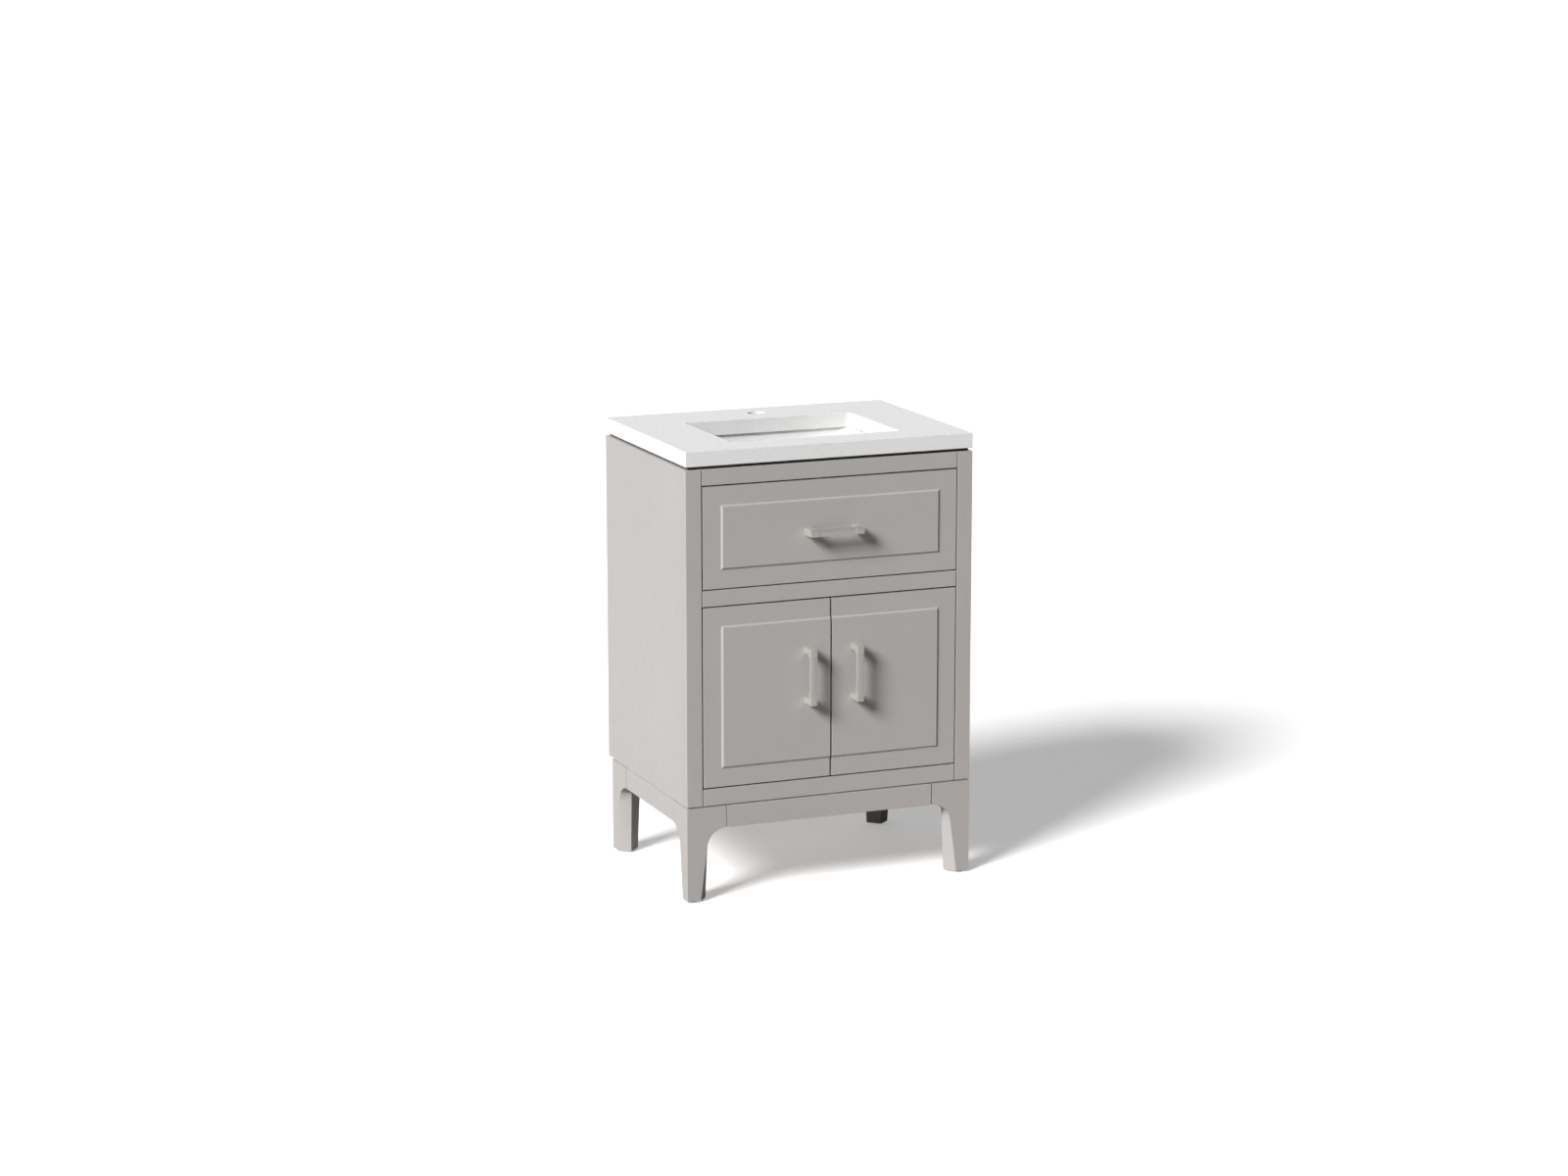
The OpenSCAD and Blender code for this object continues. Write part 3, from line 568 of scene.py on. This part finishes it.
def build_basin():
    low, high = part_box("sink_basin")
    centre = (low + high) / 2
    w, d, top = high.x - low.x - 2 * LIP_W, high.y - low.y - 2 * LIP_W, high.z
    bowl = loft(bowl_rings(w, d, top, centre), closed=True)
    o = piece("basin", bowl, china, "root", "basin_glaze", "sink_basin")
    overflow = Vector((centre.x, centre.y - d / 2, top - OVERFLOW_DROP))
    drill(o, overflow, OVERFLOW_R, DRILL_L)
    smooth(o)
    weigh_normals(o)
    rim = lathe(OVERFLOW_RING, 48, closed=True)
    rim.transform(Matrix.Translation(overflow + Vector((0, OVERFLOW_OUT, 0))) @ ALONG_Y)
    o = piece("overflow_ring", rim, plated, "root", "zinc_steel")
    smooth(o)
    weigh_normals(o)


build_basin()


# ---- Screws ----

SCREW_SEGMENTS = 48
SLOT_HALF, SLOT_DEPTH, HEAD_SIDE = 0.14, 0.6, 0.3       # shares of the head's radius and height
PULL_HEAD_R, PULL_HEAD_T, PULL_SHAFT_R = 4 * MM, 2 * MM, 2 * MM
WING_HEAD_R, WING_HEAD_T = 4.3 * MM, 1.9 * MM
WING_SCREW = 25 * MM        # from a hinge's middle to each screw of its cup's flange
WING_TOP = 1.2 * MM
CUP_X = 23.5 * MM           # from the hinge's axis to the middle of its cup
AXIS_OUT = 1.4 * MM         # from the door's edge to the hinge's axis
CUP_HALF = 31 * MM          # from each end of the cups' node to its hinge's middle


def screw(radius, height, shaft_r, shaft_l):
    """A round-headed screw along +Z with its head on z = 0 and a cross recess."""
    rings = []

    def turn(r, z, recess=False):
        points = []
        for k in range(SCREW_SEGMENTS):
            a = 2 * math.pi * (k + 0.5) / SCREW_SEGMENTS
            x, y = r * math.cos(a), r * math.sin(a)
            in_slot = recess and min(abs(x), abs(y)) < SLOT_HALF * radius
            points.append((x, y, z - (SLOT_DEPTH * height if in_slot else 0.0)))
        rings.append(points)

    def dome(share):
        return height * (0.35 + 0.65 * math.sqrt(1 - share ** 2))

    if shaft_l:
        turn(0.3 * shaft_r, -shaft_l)
        turn(shaft_r, -shaft_l + shaft_r)
        turn(shaft_r, 0)
    turn(radius, 0)
    turn(radius, HEAD_SIDE * height)
    for share in (0.96, 0.86, 0.74, 0.62):
        turn(share * radius, dome(share))
    for share in (0.6, 0.5, 0.4, 0.3, 0.2, 0.1):
        turn(share * radius, dome(share), True)
    return loft(rings, caps=True)


def add_screws(name, screws, body, slot, *stood_for):
    """One piece from (mesh, x, y, z) screws whose heads point into the cabinet."""
    bm = bmesh.new()
    for mesh, *place in screws:
        mesh.transform(Matrix.Translation(place) @ ALONG_Y)
        bm.from_mesh(mesh)
    mesh = bpy.data.meshes.new("screws")
    bm.to_mesh(mesh)
    bm.free()
    o = piece(name, mesh, steel, body, slot, *stood_for)
    smooth(o)
    weigh_normals(o)


def add_pull_screws(name, node, body, axis):
    """The two screws of a pull, from the back of the panel."""
    low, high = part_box(node)
    head_y = high.y - PULL_HEAD_T
    screws = []
    for along in (low[axis] + PULL_HEAD_R, high[axis] - PULL_HEAD_R):
        place = (low + high) / 2
        place[axis] = along
        mesh = screw(PULL_HEAD_R, PULL_HEAD_T, PULL_SHAFT_R, head_y - low.y)
        screws.append((mesh, place.x, head_y, place.z))
    add_screws(name, screws, body, "zinc_steel", node)


def add_hinge_screws(side, sign):
    """Two screws in each hinge cup's flange."""
    low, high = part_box("hinge_cups_" + side)
    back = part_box("stile_" + side)[1].y
    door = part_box("door_" + side)
    hinge_x = (door[0].x if sign < 0 else door[1].x) + sign * AXIS_OUT
    screws = []
    for middle in (low.z + CUP_HALF, high.z - CUP_HALF):
        for dz in (-WING_SCREW, WING_SCREW):
            screws.append((screw(WING_HEAD_R, WING_HEAD_T, 0, 0), hinge_x - sign * CUP_X,
                           back + WING_TOP, middle + dz))
    add_screws("hinge_screws_" + side, screws, side + "_door", "hinge_nickel")


add_pull_screws("screws_drawer", "drawer_pull_screws", "drawer", 0)
add_pull_screws("screws_left", "door_pull_screws_left", "left_door", 2)
add_pull_screws("screws_right", "door_pull_screws_right", "right_door", 2)
add_hinge_screws("left", -1)
add_hinge_screws("right", 1)


# ---- Floor, light and camera ----

FLOOR_HALF = 60.0
FLOOR_LIFT, FLOOR_SEEN, FLOOR_BOUNCE, FLOOR_SHINE = 0.35, 0.9, 0.42, 0.35
BACKDROP, BACKDROP_GLOSS, FRONT_FILL = 0.5, 0.8, 0.03
KEY_POWER, KEY_ANGLE, KEY_AZIMUTH, KEY_ELEVATION = 5.15, math.radians(20), -60, 33
LOW_POWER, LOW_W, LOW_H, LOW_AZIMUTH, LOW_ELEVATION, LOW_DISTANCE = 4, 1.0, 0.6, -75, 8, 3.0
LOW_TARGET = (0, 0, 0.1)


def stage_floor():
    """A pale floor that takes shadows. The camera and reflections see it paler than the light it
    throws back on the cabinet, and it is clear from below."""
    mesh = bpy.data.meshes.new("floor")
    corners = [(x * FLOOR_HALF, y * FLOOR_HALF, 0) for x, y in ((-1, -1), (1, -1), (1, 1), (-1, 1))]
    mesh.from_pydata(corners, [], [(0, 1, 2, 3)])
    o = bpy.data.objects.new("floor", mesh)
    bpy.context.scene.collection.objects.link(o)
    s = Shader("pale_floor", Roughness=1.0, Specular_IOR_Level=0.0, Emission_Color=WHITE)
    behind = s.spread(s.axis(1), 0.0, FLOOR_SHINE, 0.0, 1.0)
    shine = s.math("MULTIPLY", s.light_path("Is Glossy Ray"), behind)
    seen = s.math("MAXIMUM", s.light_path("Is Camera Ray"), shine)
    s.set("Emission Strength", s.math("MULTIPLY", seen, FLOOR_LIFT))
    s.set("Base Color", s.spread(seen, FLOOR_BOUNCE, FLOOR_SEEN, 0.0, 1.0))
    clear = s.tree.nodes.new("ShaderNodeBsdfTransparent")
    mix = s.tree.nodes.new("ShaderNodeMixShader")
    s.link(s.tree.nodes.new("ShaderNodeNewGeometry").outputs["Backfacing"], mix.inputs[0])
    s.link(s.bsdf.outputs[0], mix.inputs[1])
    s.link(clear.outputs[0], mix.inputs[2])
    s.link(mix.outputs[0], s.tree.nodes["Material Output"].inputs["Surface"])
    mesh.materials.append(s.mat)


def surround():
    """White to the camera. It lights the cabinet almost only from behind, and more in reflections
    than on matt surfaces."""
    world = bpy.data.worlds.new("studio")
    world.use_nodes = True
    g = Graph(world.node_tree, "Generated")
    away = g.axis(1)
    glossy = g.light_path("Is Glossy Ray")
    gloss = g.math("MULTIPLY", glossy,
                   g.spread(away, 0.0, BACKDROP_GLOSS, -0.1, 0.5, "SMOOTHSTEP"))
    matt = g.math("MULTIPLY", g.math("SUBTRACT", 1.0, glossy),
                  g.spread(away, 0.0, BACKDROP, 0.3, 0.9, "SMOOTHSTEP"))
    lit = g.math("ADD", g.math("ADD", gloss, matt), FRONT_FILL)
    background = g.tree.nodes["Background"]
    background.inputs["Color"].default_value = WHITE
    g.link(g.math("MAXIMUM", g.light_path("Is Camera Ray"), lit), background.inputs["Strength"])
    bpy.context.scene.world = world


def add_light(data, azimuth, elevation, target=(0, 0, 0), distance=0.0):
    """A light that shines on target. Azimuth 0 is in front of the cabinet and negative is to its
    left."""
    a, e = math.radians(azimuth), math.radians(elevation)
    way = Vector((math.sin(a) * math.cos(e), -math.cos(a) * math.cos(e), math.sin(e)))
    o = bpy.data.objects.new(data.name, data)
    o.location = Vector(target) + way * distance
    o.rotation_mode = "QUATERNION"
    o.rotation_quaternion = way.to_track_quat("Z", "Y")
    bpy.context.scene.collection.objects.link(o)


def studio():
    """A soft key from the left and a low softbox beside it, in a white surround."""
    surround()
    bpy.context.scene.view_settings.view_transform = "Standard"
    key = bpy.data.lights.new("key", "SUN")
    key.energy = KEY_POWER
    key.angle = KEY_ANGLE
    add_light(key, KEY_AZIMUTH, KEY_ELEVATION)
    box = bpy.data.lights.new("left_low", "AREA")
    box.energy = LOW_POWER
    box.shape = "RECTANGLE"
    box.size, box.size_y = LOW_W, LOW_H
    add_light(box, LOW_AZIMUTH, LOW_ELEVATION, LOW_TARGET, LOW_DISTANCE)


def camera():
    """The photograph's view."""
    azimuth, elevation = -22.270, 11.784
    data = bpy.data.cameras.new("camera")
    data.sensor_width = 36
    data.lens = 86.08
    data.clip_end = 200
    o = bpy.data.objects.new("camera", data)
    o.location = (-2.8252, -6.8654, 2.1205)
    o.rotation_euler = (math.radians(90 - elevation), 0, math.radians(azimuth))
    bpy.context.scene.collection.objects.link(o)
    bpy.context.scene.camera = o


stage_floor()
studio()
camera()
